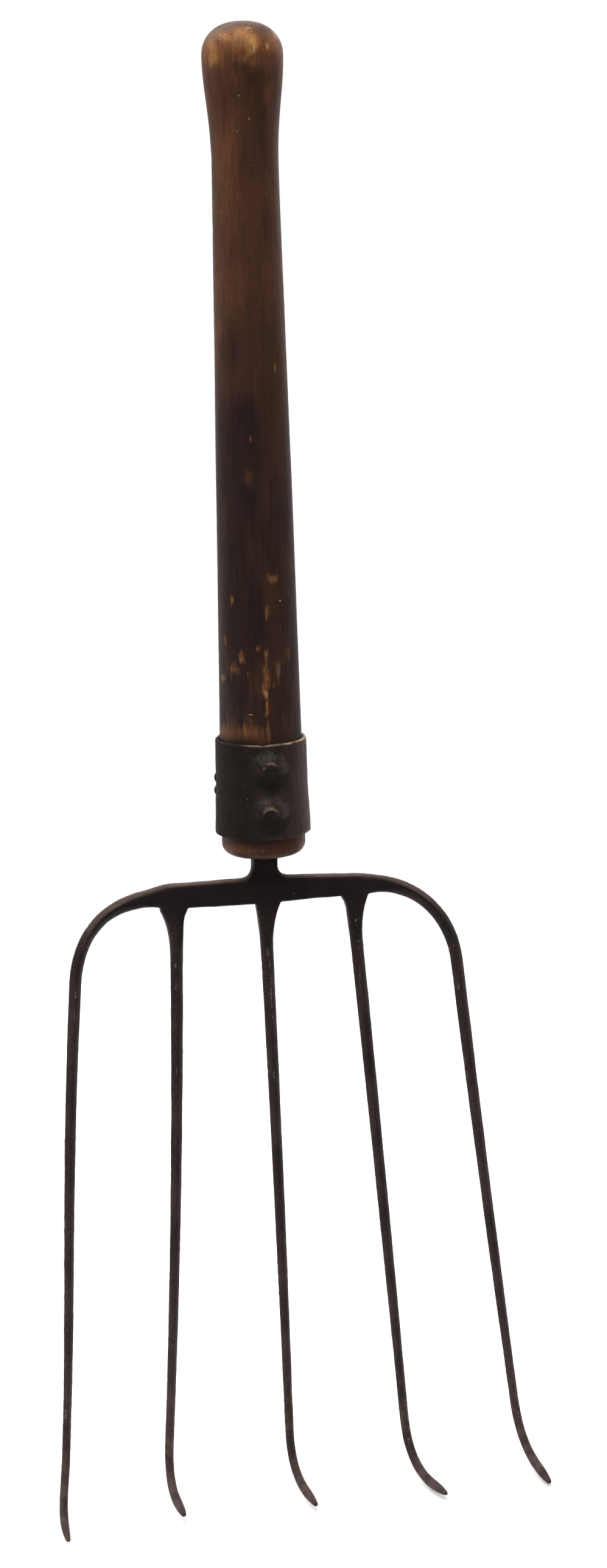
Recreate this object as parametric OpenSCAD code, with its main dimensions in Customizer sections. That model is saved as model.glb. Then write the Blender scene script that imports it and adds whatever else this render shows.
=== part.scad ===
// Five-tine hand fork: a forged head, its tang riveted through an iron band into a knobbed wooden handle.
// Millimetres. X runs across the tines, the tips hook towards -Y, and +Z runs up the handle.

/* [Handle] */
// Length of the wood, from its foot to the top of the knob
handle_len = 515; // [440:2:620]
// Diameter of the wood just above the rounded edge of its foot
foot_d = 53.2; // [48:0.5:58]
// Radius of the rounded edge of the foot
foot_round = 7; // [3:0.5:10]
// Diameter of the waist under the knob
waist_d = 41; // [36:0.5:44]
// Distance of the waist below the top of the knob
waist_drop = 86; // [70:1:110]
// Widest diameter of the knob
knob_d = 49.8; // [46:0.2:58]
// Distance of the knob's widest line below its top
knob_drop = 21; // [16:1:28]
// How early the handle swells below the waist, 1 is a straight taper
swell = 1.25; // [1:0.05:1.5]
// How late the knob swells above the waist, 1 is an even swell
knob_lag = 1.25; // [1:0.05:1.6]
// How square the crown of the knob is, 2 is an ellipse
crown = 2.25; // [1.8:0.05:2.6]

/* [Band] */
// Height of the iron band
band_h = 61; // [50:1:70]
// Height of the band's lower rim above the foot of the wood
band_up = 14; // [9:1:22]
// Thickness of the band's sheet
band_t = 2.8; // [1.6:0.1:3.6]
// How far the lower rim opens out from the wood
band_flare = 0.9; // [0:0.1:2]
// Height over which the band opens out
flare_h = 34; // [12:1:45]
// Thickness of the lapped leaf at the band's seam, hammered thinner than the sheet
lap_t = 0.6; // [0.6:0.1:2]
// How far round the band the leaf laps, in degrees
lap_turn = 26; // [20:1:45]

/* [Rivets] */
// Diameter of the two rivets that pass through band, wood and tang
rivet_d = 6; // [4:0.2:7]
// Height of the upper rivet above the foot of the wood
upper_up = 58.5; // [54:0.5:66]
// Height of the lower rivet above the foot of the wood
lower_up = 30; // [28:0.5:38]
// Diameter of the domed heads in front
head_d = 21; // [18:0.5:24]
// Height of the domed heads
head_h = 3.4; // [2:0.1:4.5]
// Width of the hammered flat on each head
flat_w = 8.4; // [7:0.2:11]
// Depth of the dish in that flat
dish = 0.5; // [0.2:0.1:1]
// Diameter of the peened ends behind
tail_d = 13; // [10:0.5:15]
// Height of the peened ends
tail_h = 2.6; // [1.5:0.1:3.5]
// Diameter of the two small rivets in the band's seam
pin_d = 4; // [3:0.2:5]
// Length of the small rivets inside the wood
pin_len = 13; // [8:1:16]
// Diameter of the small rivets' heads
pin_head_d = 7.4; // [6:0.2:8]
// Height of the small rivets' heads
pin_head_h = 2; // [1:0.1:2.5]
// Height of the pair's middle above the foot of the wood
pin_up = 43.5; // [38:1:50]
// Distance between the two small rivets
pin_step = 8.2; // [8:0.1:10]

/* [Tang and neck] */
// Length of the neck between the crosshead and the wood
neck_len = 16; // [10:1:22]
// Width of the neck
neck_w = 16.4; // [15:0.2:22]
// Thickness of the neck where it meets the wood
neck_t = 12; // [10:0.5:16]
// Reach of the fillets that spread the neck onto the crosshead
neck_fillet = 8.5; // [2:0.5:9]
// Length of the tang inside the wood
tang_len = 112; // [80:1:150]
// Width of the tang at its shoulder
tang_w = 14.5; // [12:0.5:15]
// Width of the tang at its end
tang_end_w = 9; // [7.5:0.5:11]
// Thickness of the tang at its shoulder
tang_t = 8.4; // [6:0.2:10]
// Thickness of the tang at its end
tang_end_t = 4; // [3:0.2:6]

/* [Crosshead] */
// Height of the crosshead at the neck
bar_h = 17.2; // [15:0.2:22]
// Height of the crosshead over the inner tines
bar_end_h = 15; // [12:0.2:17]
// Thickness of the crosshead from front to back
bar_t = 9.4; // [8:0.2:12]
// Height of the bar where it leaves the inner tines for the shoulders
shoulder_h = 10.8; // [9:0.2:13]
// Drop of the shoulders, from the bar down to the straight of the outer tines
shoulder_drop = 57; // [45:1:70]

/* [Tines] */
// Distance from the middle tine to each inner tine, at the crosshead
inner_reach = 57.5; // [50:0.5:66]
// Distance from the middle tine to each outer tine, at the crosshead
outer_reach = 120; // [110:1:132]
// Length of the middle tine along its curve, below the crosshead's underside
tine_len = 414.5; // [340:0.5:460]
// Width of the tines below their roots
tine_w = 8.7; // [6:0.1:9]
// Width of the tines where they start to hook
tine_end_w = 5.9; // [4.2:0.1:6]
// Depth of the tines from front to back, as a multiple of their width
tine_depth = 1.08; // [0.9:0.02:1.3]
// Reach of the fillets at each side of the inner tines' roots
root_flare = 4.6; // [2:0.2:7]
// Length over which those fillets run out
root_run = 30; // [15:1:40]
// Forward lean of the tines from the line of the handle, in degrees
lean = 4.8; // [0:0.1:10]
// Outward spread of the inner tines, in degrees
inner_spread = 3.45; // [0:0.05:5]
// Outward spread of the outer tines, in degrees
outer_spread = 5.05; // [0:0.05:7]

/* [Hooked tips] */
// Forward bend of the tips from the line of their tines, in degrees
hook_bend = 77; // [30:1:90]
// Length of tine that takes the bend
hook_arc = 56; // [40:1:75]
// Length of straight beyond the bend, drawn to a blunt point
hook_end = 14.5; // [10:0.5:22]
// Width of the blunt point
point_w = 2.6; // [2:0.1:4]
// Thickness of the blunt point
point_t = 2.4; // [1:0.1:3]

/* [Hidden] */

// What the smith's hand left uneven, one value for each tine from left to right
hand_len = [-7, -5, 0, 9, 4];
hand_bend = [-17, 4, 3, 10, -1];
hand_arc = [-3, -10, -1, 7, 8];
hand_turn = [-18, 2, 6, 11, 4];
hand_curl = [6.2, 0, 0, 0, 0];
hand_spread = [0.55, -0.15, 0.05, -0.1, 0.2];
hand_reach = [0, -0.45, -0.65, -0.95, 0.8];
hand_bow = [-3.1, 2.3, 0.6, 0.4, -0.8];
hand_late_bow = [1.75, 0, 0, 0, 0];
hand_width = [-0.25, 0, 0, 0.2, 0.2];
hand_flare_out = [0, 1.35, 1.35, 1.35, 0];
hand_flare_in = [0, 0.58, 0.4, 0.58, 0];
hand_run_in = [0, 0.36, 1, 0.36, 0];
// Squareness of the left and the right shoulder, and the sag and extra height of the bar on that side
shoulder_round = [2.52, 2.15];
shoulder_sag = [-0.8, 1.6];
hand_bar = [0.9, -0.9];

// Clearances, and how far a cut reaches past the face it starts from
socket_gap = 0.2;
band_gap = 0.1;
rivet_gap = 0.1;
seat_gap = 0.1;
tang_end_gap = 2;
overcut = 1;

// Smoothness of turned, swept and drilled forms
$fn = 96;
drill_fn = 48;
profile_steps = 40;
crown_steps = 12;
edge_steps = 6;
section_sides = 16;
straight_rings = 9;
hook_rings = 12;
shoulder_rings = 20;
bar_rings = 36;
root_rings = 8;

// Heights, measured from the underside of the crosshead
bar_mid = bar_h / 2;
foot_z = bar_h + neck_len;
top_z = foot_z + handle_len;
waist_z = top_z - waist_drop;
knob_z = top_z - knob_drop;
band_z = foot_z + band_up;

// Distance from an inner tine's middle to the start of the shoulder
root_clear = 8.5;

// Squareness of the sections: the bar is flat faced, the tines are ridged in front and behind
bar_square = 5;
shoulder_square = 3;
neck_square = 6;
neck_foot_square = 3;
tine_square = 1.35;
tip_square = 2;

function clamp01(t) = min(1, max(0, t));
function lerp(a, b, t) = a + (b - a) * t;
function ease(t) = clamp01(t) * clamp01(t) * (3 - 2 * clamp01(t));
function unit(v) = v / norm(v);
function signed_pow(v, e) = sign(v) * pow(abs(v), e);

// Radius of the wood at a height, between its foot and its knob
waist_softness = 0.04;
function early(u) = u * u / (u + waist_softness) * (1 + waist_softness);
function taper_r(z) =
    let (u = clamp01((waist_z - z) / (waist_z - foot_z)))
    (waist_d + (foot_d - waist_d) * (1 - pow(1 - early(u), swell))) / 2;
function knob_r(z) =
    lerp(waist_d, knob_d, ease(pow(clamp01((z - waist_z) / (knob_z - waist_z)), knob_lag))) / 2;
function wood_r(z) = z < waist_z ? taper_r(z) : knob_r(z);

// Outer outline of the wood, from the axis at the foot to the axis at the crown
function wood_outline() = concat(
    [[0, foot_z]],
    [for (i = [0:edge_steps])
        let (a = 90 * i / edge_steps, r = wood_r(foot_z + foot_round) - foot_round)
        [r + foot_round * sin(a), foot_z + foot_round * (1 - cos(a))]],
    [for (i = [1:profile_steps])
        let (z = lerp(foot_z + foot_round, waist_z, i / profile_steps))
        [wood_r(z), z]],
    [for (i = [1:crown_steps])
        let (z = lerp(waist_z, knob_z, i / crown_steps))
        [wood_r(z), z]],
    [for (i = [1:crown_steps - 1])
        let (a = 90 * i / crown_steps)
        [knob_d / 2 * pow(cos(a), 2 / crown), knob_z + knob_drop * pow(sin(a), 2 / crown)]],
    [[0, top_z]]
);

// Radii of the band's inner and outer face, which follow the wood and open out below
band_steps = 10;
function opening(z) = band_flare * (1 - ease((z - band_z) / flare_h));
function band_in(z) = wood_r(z) + band_gap + opening(z);
function band_out(z) = band_in(z) + band_t;
band_levels = [for (i = [0:band_steps]) band_z + band_h * i / band_steps];
rim_round = 0.7;
function band_outline(inner_grow, outer_grow) = concat(
    [for (z = band_levels) [band_in(z) + inner_grow, z]],
    [[band_out(band_z + band_h) + outer_grow - rim_round, band_z + band_h]],
    [for (i = [band_steps:-1:0])
        let (z = band_levels[i])
        [band_out(z) + outer_grow, min(z, band_z + band_h - rim_round)]]
);

// Section of a swept piece: a superellipse with its own half widths left and right,
// whose ridge in front may lie off the middle
function ring(p, side, front, half_l, half_r, half_d, square, skew = 0) = [
    for (k = [0:section_sides - 1])
        let (
            a = 360 * k / section_sides,
            x = signed_pow(cos(a), 2 / square),
            y = signed_pow(sin(a), 2 / square)
        )
        p + side * (x * (x > 0 ? half_r : half_l) + skew * (1 - abs(x)) * max(0, y))
            + front * y * half_d
];

// Directions across a swept piece, from its neighbours along the way and a guide across it
function across(way, guide) = unit(guide - (guide * way) * way);
function frame_rings(points, guides, lefts, rights, depths, squares, skews) = [
    for (i = [0:len(points) - 1])
        let (
            last = len(points) - 1,
            way = unit(points[min(i + 1, last)] - points[max(i - 1, 0)]),
            side = across(way, guides[i])
        )
        ring(points[i], side, cross(side, way), lefts[i], rights[i], depths[i], squares[i],
            skews[i])
];

// Closed skin over a row of rings
module skin(rings) {
    n = section_sides;
    m = len(rings);
    points = [for (r = rings) each r];
    walls = [
        for (j = [0:m - 2], k = [0:n - 1])
            each [
                [j * n + k, j * n + (k + 1) % n, (j + 1) * n + k],
                [j * n + (k + 1) % n, (j + 1) * n + (k + 1) % n, (j + 1) * n + k]
            ]
    ];
    first = [for (k = [n - 1:-1:0]) k];
    last = [for (k = [0:n - 1]) (m - 1) * n + k];
    polyhedron(points, concat(walls, [first, last]));
}

// Lengths, bends and places of each tine
is_outer = [true, false, false, false, true];
tine_side = [-1, -1, 0, 1, 1];
tine_reach = [for (i = [0:4])
    tine_side[i] * (is_outer[i] ? outer_reach : inner_reach) + hand_reach[i]];
tine_spread = [for (i = [0:4])
    tine_side[i] * (is_outer[i] ? outer_spread : inner_spread) + hand_spread[i]];
tine_arc = [for (i = [0:4]) hook_arc + hand_arc[i]];
tine_bend = [for (i = [0:4]) hook_bend + hand_bend[i]];
tine_run = [for (i = [0:4]) tine_len + hand_len[i] + bar_mid];
hook_start = [for (i = [0:4]) tine_run[i] - hook_end - tine_arc[i]];

// Distances along a tine at which it has a ring, from the middle of the crosshead to its point
point_rings = 5;
point_bunch = 1.8;
point_stations = [for (k = [1:point_rings]) 1 - pow(1 - k / point_rings, point_bunch)];
function stations(i, first) = concat(
    first,
    [for (k = [1:straight_rings - 1])
        lerp(first[len(first) - 1], hook_start[i], k / straight_rings)],
    [for (k = [0:hook_rings]) hook_start[i] + tine_arc[i] * k / hook_rings],
    [for (t = point_stations) tine_run[i] - hook_end + hook_end * t]
);

// Angle from the vertical at a distance along the tine, and the way it runs forward and down
function slope(i, s) = lean + tine_bend[i] * ease((s - hook_start[i]) / tine_arc[i]);
function running(i, list) = [
    for (
        k = 0, run = [sin(lean), cos(lean)] * list[0];
        k < len(list);
        k = k + 1,
        run = k < len(list)
            ? run + (list[k] - list[k - 1])
                * [sin(slope(i, (list[k] + list[k - 1]) / 2)), cos(slope(i, (list[k] + list[k - 1]) / 2))]
            : run
    ) run
];

// Points of a tine: spread sideways, bowed a little, leaning and hooked forward
curl_reach = 33;
function bowed(q) = 4 * q * (1 - q);
function late_bowed(q) = 256 / 27 * pow(q, 3) * (1 - q);
function tine_points(i, list) =
    let (way = running(i, list))
    [for (k = [0:len(list) - 1])
        let (
            forward = way[k][0],
            down = way[k][1],
            hook = max(0, forward - down * tan(lean)),
            straight_x = tine_reach[i] + down * tan(tine_spread[i]),
            q = clamp01(list[k] / hook_start[i]),
            bow_x = hand_bow[i] * bowed(q) + hand_late_bow[i] * late_bowed(q),
            hook_x = hook * tan(hand_turn[i]) + hand_curl[i] * pow(hook / curl_reach, 2)
        )
        [straight_x + bow_x + hook_x, -forward, bar_mid - down]];

// Half width and half depth of a tine at a distance along it
point_run = 1.3;
point_power = 2.2;
point_blunt = 0.7;
function end_share(i, s, reach) = clamp01((s - tine_run[i] + reach) / reach);
function full(i, s) = pow(1 - pow(end_share(i, s, hook_end * point_run), point_power), point_blunt);
function tine_half(i, s) =
    let (
        t = clamp01((s - bar_mid) / (hook_start[i] - bar_mid)),
        body = lerp(tine_w, tine_end_w, t) + hand_width[i]
    )
    lerp(point_w, body, full(i, s)) / 2;
function tine_half_depth(i, s) =
    lerp(point_t / 2, tine_half(i, s) * tine_depth, full(i, s));
function tine_square_at(i, s) = lerp(tine_square, tip_square, ease((s - hook_start[i]) / tine_arc[i]));

// Inner tines start inside the crosshead and leave it through fillets
root_sink = bar_mid * 0.55;
root_bunch = 1.6;
root_depth = 0.87;
flare_power = 2.6;
root_stations = [for (k = [0:root_rings])
    lerp(root_sink, bar_mid + root_run, pow(k / root_rings, root_bunch))];
function flare(s, reach, run) = reach * pow(1 - clamp01((s - bar_mid) / run), flare_power);
function inner_rings(i) =
    let (
        list = stations(i, root_stations),
        side = [cos(tine_spread[i]), 0, sin(tine_spread[i])],
        outer = [for (s = list) flare(s, root_flare * hand_flare_out[i], root_run)],
        inner = [for (s = list) flare(s, root_flare * hand_flare_in[i], root_run * hand_run_in[i])],
        lefts = tine_side[i] < 0 ? outer : inner,
        rights = tine_side[i] < 0 ? inner : outer
    )
    frame_rings(
        tine_points(i, list),
        [for (s = list) side],
        [for (k = [0:len(list) - 1]) tine_half(i, list[k]) + lefts[k]],
        [for (k = [0:len(list) - 1]) tine_half(i, list[k]) + rights[k]],
        [for (s = list) tine_half_depth(i, s) * lerp(root_depth, 1, ease((s - root_sink) / root_run))],
        [for (s = list) lerp(bar_square, tine_square_at(i, s), ease((s - bar_mid) / root_run))],
        [for (s = list) 0]
    );

// The outer tines and the crosshead are one bar, bent down at both shoulders
shoulder_start = inner_reach + root_clear;
flat_reach = inner_reach;
lean_start = 2;
ridge_turn = 30;
thin_turn = 55;
ridge_skew = 0.4;
function shoulder_point(i, a) =
    let (
        n = shoulder_round[i == 0 ? 0 : 1],
        sag = shoulder_sag[i == 0 ? 0 : 1],
        over = abs(tine_points(i, [shoulder_drop / cos(lean)])[0][0]) - shoulder_start,
        spread = tan(abs(tine_spread[i])) * shoulder_drop,
        drop = shoulder_drop - sag,
        down = sag + drop * (1 - pow(cos(a), 2 / n))
    )
    [
        tine_side[i] * (shoulder_start + (over - spread) * pow(sin(a), 2 / n)
            + spread * (down - sag) / drop),
        -down * tan(lean) * ease(down / shoulder_drop * lean_start),
        bar_mid - down
    ];
function bar_point(x) =
    let (sag = shoulder_sag[x < 0 ? 0 : 1])
    [x, 0, bar_mid - sag * pow(x / shoulder_start, 2)];

// Half height of the crosshead along its length
function bar_half(x) =
    let (
        d = abs(x),
        end_h = bar_end_h + hand_bar[x < 0 ? 0 : 1],
        over = ease((d - inner_reach - root_clear / 2) / (2 * root_clear))
    )
    lerp(lerp(bar_h, end_h, ease(d / inner_reach)), shoulder_h, over) / 2;

// Rings of one outer tine, from the point up to the end of the shoulder
function outer_list(i) = stations(i, [shoulder_drop / cos(lean)]);
function flip(list) = [for (k = [len(list) - 1:-1:0]) list[k]];
shoulder_angles = [for (k = [1:shoulder_rings - 1]) 90 * k / shoulder_rings];
function arm_points(i) = concat(
    [for (a = shoulder_angles) shoulder_point(i, a)],
    tine_points(i, outer_list(i))
);
function arm_halves(i) = concat(
    [for (a = shoulder_angles)
        lerp(bar_half(shoulder_point(i, a)[0]), tine_half(i, shoulder_drop), ease(a / thin_turn))],
    [for (s = outer_list(i)) tine_half(i, s)]
);
function arm_depths(i) = concat(
    [for (a = shoulder_angles) lerp(bar_t / 2, tine_half_depth(i, shoulder_drop), ease(a / 90))],
    [for (s = outer_list(i)) tine_half_depth(i, s)]
);
function arm_squares(i) = concat(
    [for (a = shoulder_angles) lerp(shoulder_square, tine_square, ease(a / ridge_turn))],
    [for (s = outer_list(i)) tine_square_at(i, s)]
);
function arm_skews(i) = concat(
    [for (k = [0:len(shoulder_angles) - 1])
        -ridge_skew * arm_halves(i)[k] * ease(shoulder_angles[k] / ridge_turn)
            * (1 - ease(shoulder_angles[k] / 90))],
    [for (s = outer_list(i)) 0]
);
function arm_guides(i) =
    let (
        points = arm_points(i),
        straight = [cos(tine_spread[i]), 0, sin(tine_spread[i])] * -tine_side[i]
    )
    [for (k = [0:len(points) - 1])
        k >= shoulder_rings - 1 ? straight
            : let (way = unit(points[k + 1] - points[max(k - 1, 0)]))
                unit([way[2], 0, -way[0]]) * tine_side[i]];

bar_places = [for (k = [0:bar_rings]) lerp(-shoulder_start, shoulder_start, k / bar_rings)];
bow_points = concat(flip(arm_points(0)), [for (x = bar_places) bar_point(x)], arm_points(4));
bow_halves = concat(flip(arm_halves(0)), [for (x = bar_places) bar_half(x)], arm_halves(4));
bow_depths = concat(flip(arm_depths(0)), [for (x = bar_places) bar_t / 2], arm_depths(4));
function ridged(x) = ease((abs(x) - flat_reach) / (shoulder_start - flat_reach));
bow_squares = concat(
    flip(arm_squares(0)),
    [for (x = bar_places) lerp(bar_square, shoulder_square, ridged(x))],
    arm_squares(4)
);
bow_skews = concat(flip(arm_skews(0)), [for (x = bar_places) 0], arm_skews(4));
bow_guides = concat(
    flip(arm_guides(0)),
    [for (x = bar_places) [0, 0, -1]],
    arm_guides(4)
);

bow_rings = frame_rings(
    bow_points, bow_guides, bow_halves, bow_halves, bow_depths, bow_squares, bow_skews
);

// The neck spreads onto the crosshead through two fillets
neck_sink = 0.6;
neck_levels = concat(
    [bar_mid],
    [for (k = [0:edge_steps]) bar_h - neck_sink + neck_fillet * k / edge_steps],
    [foot_z]
);
function neck_spread(z) =
    let (u = clamp01((z - bar_h + neck_sink) / neck_fillet))
    neck_fillet * (1 - sqrt(1 - pow(1 - u, 2)));
module neck() {
    grow = [for (z = neck_levels) ease((z - bar_h) / neck_len)];
    halves = [for (z = neck_levels) neck_w / 2 + neck_spread(z)];
    skin([
        for (k = [0:len(neck_levels) - 1])
            ring([0, 0, neck_levels[k]], [1, 0, 0], [0, -1, 0], halves[k], halves[k],
                lerp(bar_t - neck_sink, neck_t, grow[k]) / 2,
                lerp(neck_foot_square, neck_square, ease((neck_levels[k] - bar_h) / neck_fillet)))
    ]);
}

// The tang tapers in width and in thickness; its socket is the same shape with a clearance
tang_root = 4;
function tang_half(root, end, z) = lerp(root, end, (z - foot_z) / tang_len) / 2;
module trapezoid(root, end, low, high, gap) {
    polygon([
        [-tang_half(root, end, low) - gap, low],
        [tang_half(root, end, low) + gap, low],
        [tang_half(root, end, high) + gap, high],
        [-tang_half(root, end, high) - gap, high]
    ]);
}
module tang_form(low, high, gap) {
    intersection() {
        rotate([90, 0, 0])
            linear_extrude(height = 2 * tang_w, center = true)
                trapezoid(tang_w, tang_end_w, low, high, gap);
        rotate([90, 0, 90])
            linear_extrude(height = 2 * tang_w, center = true)
                trapezoid(tang_t, tang_end_t, low, high, gap);
    }
}

// Places of the rivets: two from front to back, turned a little to the left, and two in the band's seam
rivet_levels = [foot_z + upper_up, foot_z + lower_up];
pin_levels = [foot_z + pin_up + pin_step / 2, foot_z + pin_up - pin_step / 2];
seam_angle = 121;
lap_margin = 0.9;
lap_edge = asin((pin_head_d / 2 + lap_margin) / band_out(pin_levels[0]));
rivet_turn = [2.6, 3.8];
module facing_front(z) {
    translate([0, 0, z])
        rotate([90, 0, 0])
            children();
}
module facing_seam(z) {
    translate([0, 0, z])
        rotate([90, 0, -seam_angle])
            children();
}
module rivet_holes() {
    for (k = [0:1])
        rotate([0, 0, -rivet_turn[k]])
            facing_front(rivet_levels[k])
                cylinder(h = 2 * foot_d, r = rivet_d / 2 + rivet_gap, center = true, $fn = drill_fn);
}
module pin_holes() {
    for (z = pin_levels)
        facing_seam(z)
            translate([0, 0, wood_r(z) - pin_len - rivet_gap])
                cylinder(h = foot_d, r = pin_d / 2 + rivet_gap, $fn = drill_fn);
}

// Everything inside the band's outer face, used to seat the heads of the rivets on it
module band_core(grow) {
    rotate_extrude()
        polygon(concat(
            [[0, band_z - band_h]],
            [for (z = band_levels) [band_out(z) + grow, z]],
            [[band_out(band_z + band_h) + grow, band_z + 2 * band_h], [0, band_z + 2 * band_h]]
        ));
}

// Domed head with a hammered top: the skirt wraps round the band
skirt_drop = 2;
dome_steps = 10;
dome_base = 6;
dome_power = 1.25;
square_turn = 6;
square_corner = 0.64;
function dome_height(r) =
    let (t = clamp01((r - flat_w / 2) / (head_d / 2 - flat_w / 2)))
    lerp(head_h, -skirt_drop, ease(pow(t, dome_power)));
module dome() {
    rotate_extrude()
        polygon(concat(
            [[0, -dome_base], [0, head_h]],
            [for (k = [0:dome_steps])
                let (r = lerp(flat_w, head_d, k / dome_steps) / 2)
                [r, dome_height(r)]],
            [[head_d / 2, -dome_base]]
        ));
}
module round_dish() {
    bowl_r = (pow(flat_w / 2, 2) + pow(dish, 2)) / (2 * dish);
    translate([0, 0, head_h - dish + bowl_r])
        sphere(r = bowl_r);
}
module square_dish() {
    rotate([0, 0, square_turn])
        translate([0, 0, head_h - dish])
            intersection() {
                linear_extrude(height = head_h)
                    square(flat_w, center = true);
                cylinder(h = head_h, r = flat_w * square_corner);
            }
}
tail_r = (pow(tail_d / 2, 2) + pow(tail_h + skirt_drop, 2)) / (2 * (tail_h + skirt_drop));
module tail() {
    intersection() {
        translate([0, 0, tail_h - tail_r])
            sphere(r = tail_r);
        translate([0, 0, -skirt_drop])
            cylinder(h = skirt_drop + tail_h, r = tail_d);
    }
}

// A rivet seen from the front: child 0 is what the hammer left in the flat of its head
module rivet(k) {
    z = rivet_levels[k];
    seat = band_out(z);
    rotate([0, 0, -rivet_turn[k]]) {
        facing_front(z)
            cylinder(h = 2 * seat, r = rivet_d / 2, center = true, $fn = drill_fn);
        difference() {
            union() {
                facing_front(z)
                    translate([0, 0, seat])
                        difference() {
                            dome();
                            children();
                        }
                translate([0, 0, z])
                    rotate([-90, 0, 0])
                        translate([0, 0, seat])
                            tail();
            }
            band_core(seat_gap);
        }
    }
}

module seam_pin(z) {
    seat = band_out(z) + lap_t;
    cap_r = (pow(pin_head_d / 2, 2) + pow(pin_head_h, 2)) / (2 * pin_head_h);
    facing_seam(z)
        translate([0, 0, wood_r(z) - pin_len])
            cylinder(h = seat + pin_head_h / 2 - wood_r(z) + pin_len, r = pin_d / 2, $fn = drill_fn);
    difference() {
        facing_seam(z)
            intersection() {
                translate([0, 0, seat + pin_head_h - cap_r])
                    sphere(r = cap_r);
                translate([0, 0, seat - pin_head_h / 2])
                    cylinder(h = 2 * pin_head_h, r = pin_head_d / 2);
            }
        band_core(lap_t + seat_gap);
    }
}

// The whole fork is set with its lowest tip on the ground and its middle over the origin
iron_points = concat(
    [for (r = bow_rings) each r],
    [for (i = [1:3]) each [for (r = inner_rings(i)) each r]]
);
left_x = min([for (p = iron_points) p[0]]);
right_x = max([for (p = iron_points) p[0]]);
front_y = min([for (p = iron_points) p[1]]);
back_y = max([for (k = [0:1])
    (band_out(rivet_levels[k]) + tail_h - tail_r) * cos(rivet_turn[k]) + tail_r]);
low_z = min([for (p = iron_points) p[2]]);
shift = [-(left_x + right_x) / 2, -(front_y + back_y) / 2, -low_z];

module handle() {
    color("#4a2a18")
        translate(shift)
            difference() {
                rotate_extrude()
                    polygon(wood_outline());
                tang_form(foot_z - overcut, foot_z + tang_len + tang_end_gap, socket_gap);
                rivet_holes();
                pin_holes();
            }
}

module fork_head() {
    color("#2b2421")
        translate(shift)
            difference() {
                union() {
                    skin(bow_rings);
                    for (i = [1:3])
                        skin(inner_rings(i));
                    neck();
                    tang_form(foot_z - tang_root, foot_z + tang_len, 0);
                }
                rivet_holes();
            }
}

module band() {
    color("#3d3430")
        translate(shift)
            difference() {
                union() {
                    rotate_extrude()
                        polygon(band_outline(0, 0));
                    rotate([0, 0, -90 - seam_angle - lap_turn + lap_edge])
                        rotate_extrude(angle = lap_turn)
                            polygon(band_outline(band_t / 2, lap_t));
                }
                rivet_holes();
                pin_holes();
            }
}

module upper_rivet() {
    color("#4a403a")
        translate(shift)
            rivet(0)
                square_dish();
}

module lower_rivet() {
    color("#4a403a")
        translate(shift)
            rivet(1)
                round_dish();
}

module seam_rivets() {
    color("#4a403a")
        translate(shift)
            for (z = pin_levels)
                seam_pin(z);
}

handle();
fork_head();
band();
upper_rivet();
lower_rivet();
seam_rivets();
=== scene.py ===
# Looks of a hand-forged five-tine fork: dark iron head, riveted band and a hand-polished wooden handle.
# Everything is in metres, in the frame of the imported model. Millimetre sizes are written as N * MM.
import math

import bpy
import numpy as np
from mathutils import Euler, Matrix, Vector
from mathutils.bvhtree import BVHTree


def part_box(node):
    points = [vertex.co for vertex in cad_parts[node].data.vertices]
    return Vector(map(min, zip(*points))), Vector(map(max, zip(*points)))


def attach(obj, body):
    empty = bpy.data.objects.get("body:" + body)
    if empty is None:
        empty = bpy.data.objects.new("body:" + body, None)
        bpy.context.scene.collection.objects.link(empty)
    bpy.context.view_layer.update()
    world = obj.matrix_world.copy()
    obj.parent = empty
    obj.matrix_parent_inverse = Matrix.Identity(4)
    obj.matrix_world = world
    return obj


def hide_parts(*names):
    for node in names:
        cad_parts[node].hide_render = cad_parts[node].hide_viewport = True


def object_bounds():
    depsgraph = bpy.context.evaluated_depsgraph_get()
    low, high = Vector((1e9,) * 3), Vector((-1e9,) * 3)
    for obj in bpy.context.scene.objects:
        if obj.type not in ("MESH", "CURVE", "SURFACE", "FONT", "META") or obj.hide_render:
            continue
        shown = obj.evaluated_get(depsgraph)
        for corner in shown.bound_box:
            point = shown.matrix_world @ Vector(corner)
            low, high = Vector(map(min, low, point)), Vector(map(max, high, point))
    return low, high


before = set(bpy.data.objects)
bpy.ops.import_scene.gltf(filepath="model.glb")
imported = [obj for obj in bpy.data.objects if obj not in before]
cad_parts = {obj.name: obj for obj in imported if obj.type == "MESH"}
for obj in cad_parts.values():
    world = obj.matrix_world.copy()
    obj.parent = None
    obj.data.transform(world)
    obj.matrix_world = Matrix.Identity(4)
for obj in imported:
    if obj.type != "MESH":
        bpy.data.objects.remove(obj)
CAD_LOW, CAD_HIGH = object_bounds()

MM = 0.001

# Camera of the photograph, which is 997 pixels wide and 2576 high
PHOTO_W, PHOTO_H = 997, 2576
FOCAL_PX = 5200
SENSOR = 36.0
CAMERA_FROM_CROWN = Vector((-0.4440, -1.9120, -0.0542))
CAMERA_YAW, CAMERA_PITCH, CAMERA_ROLL = 13.84, -12.0, -1.4

# The axis of the handle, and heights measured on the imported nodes
WOOD_LOW, WOOD_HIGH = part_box("handle")
BAND_LOW, BAND_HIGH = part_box("band")
AXIS_X = (WOOD_LOW.x + WOOD_HIGH.x) / 2
AXIS_Y = (WOOD_LOW.y + WOOD_HIGH.y) / 2
CROWN = Vector((AXIS_X, AXIS_Y, WOOD_HIGH.z))


# Camera, stage and light

FLOOR_HALF, FLOOR_FRONT = 1.3, -0.15
# Light from all round: bright behind the object, dim in front of it
SKY_DIM, SKY_BRIGHT = 0.29, 0.66
# Below 1 it gives the photograph's deep darks
VIEW_GAMMA = 0.85


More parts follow.
